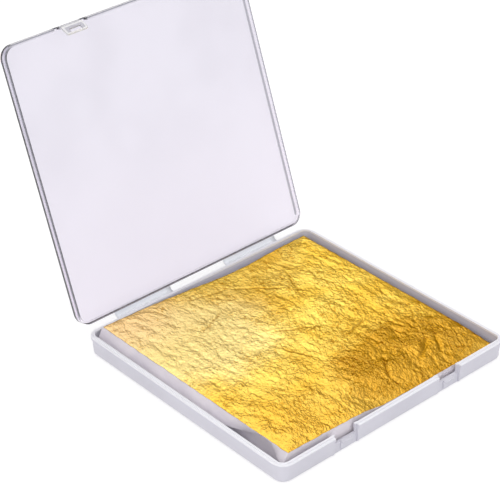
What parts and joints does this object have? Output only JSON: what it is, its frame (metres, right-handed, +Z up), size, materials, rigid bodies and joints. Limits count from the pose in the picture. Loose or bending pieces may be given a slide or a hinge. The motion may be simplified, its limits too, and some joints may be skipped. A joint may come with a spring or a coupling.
{
  "type": "gold leaf case with loose leaf stack",
  "caption": "Shallow square hinged plastic case, lid open on film hinges, with latch flaps, holding a loose stack of crinkled imitation gold leaf on white tissue.",
  "frame": {"origin": "centre of the flat bottom face of the tray", "axes": "+Z up, -Y towards the latches at the front, X along the hinge, +X to the right as seen from the front"},
  "size_m": [0.154, 0.205, 0.1537],
  "materials": {
    "tray_plastic": "clear natural polypropylene, injection moulded, faintly frosted",
    "lid_plastic": "clear natural polypropylene, injection moulded, thin and glossy",
    "hinge_film": "thin clear polypropylene film, bends as a living hinge",
    "latch_flap": "clear natural polypropylene",
    "gold_leaf": "beaten brass foil, crinkled, mirror bright in its folds",
    "tissue": "uncoated white interleaving tissue"
  },
  "bodies": {
    "tray": {"tray": "tray_plastic", "tray_hinge_web_left": "hinge_film", "tray_hinge_web_right": "hinge_film"},
    "lid": {"lid": "lid_plastic", "lid_hinge_web_left": "hinge_film", "lid_hinge_web_right": "hinge_film"},
    "latch_flap_left": {"latch_flap_left": "latch_flap"},
    "latch_flap_right": {"latch_flap_right": "latch_flap"},
    "leaf_stack": {"gold_leaf_02": "gold_leaf", "gold_leaf_03": "gold_leaf", "gold_leaf_04": "gold_leaf", "gold_leaf_05": "gold_leaf", "gold_leaf_06": "gold_leaf", "gold_leaf_07": "gold_leaf", "gold_leaf_08": "gold_leaf", "gold_leaf_09": "gold_leaf", "gold_leaf_10": "gold_leaf", "gold_leaves_bundle_1": "gold_leaf", "gold_leaves_bundle_2": "gold_leaf", "gold_leaves_bundle_3": "gold_leaf", "gold_leaves_bundle_4": "gold_leaf", "gold_leaves_bundle_5": "gold_leaf", "gold_leaves_bundle_6": "gold_leaf", "gold_leaves_bundle_7": "gold_leaf", "gold_leaves_bundle_8": "gold_leaf", "gold_leaves_bundle_9": "gold_leaf", "tissue_01": "tissue", "tissue_02": "tissue", "tissue_03": "tissue", "tissue_04": "tissue", "tissue_05": "tissue", "tissue_06": "tissue", "tissue_07": "tissue", "tissue_08": "tissue", "tissue_09": "tissue", "tissue_10": "tissue", "tissues_bundle_1": "tissue", "tissues_bundle_2": "tissue", "tissues_bundle_3": "tissue", "tissues_bundle_4": "tissue", "tissues_bundle_5": "tissue", "tissues_bundle_6": "tissue", "tissues_bundle_7": "tissue", "tissues_bundle_8": "tissue", "tissues_bundle_9": "tissue"},
    "top_leaf": {"gold_leaf_01": "gold_leaf"}
  },
  "joints": [
    {"name": "lid_hinge", "type": "hinge", "parent": "tray", "child": "lid", "pos_m": [0, 0.0765, 0.01105], "axis": [-1, 0, 0], "range_deg": [-109.24, 70.76]},
    {"name": "latch_flap_left_bend", "type": "hinge", "parent": "lid", "child": "latch_flap_left", "pos_m": [-0.0351, 0.12568, 0.15334], "axis": [-1, 0, 0], "range_deg": [0, 128], "stiffness_Nm_per_rad": 0.0005},
    {"name": "latch_flap_right_bend", "type": "hinge", "parent": "lid", "child": "latch_flap_right", "pos_m": [0.0351, 0.12568, 0.15334], "axis": [-1, 0, 0], "range_deg": [0, 128], "stiffness_Nm_per_rad": 0.0005},
    {"name": "stack_lift", "type": "slide", "parent": "tray", "child": "leaf_stack", "axis": [0, 0, 1], "range_m": [0, 0.03]},
    {"name": "top_leaf_lift", "type": "slide", "parent": "leaf_stack", "child": "top_leaf", "axis": [0, 0, 1], "range_m": [0, 0.02]}
  ]
}
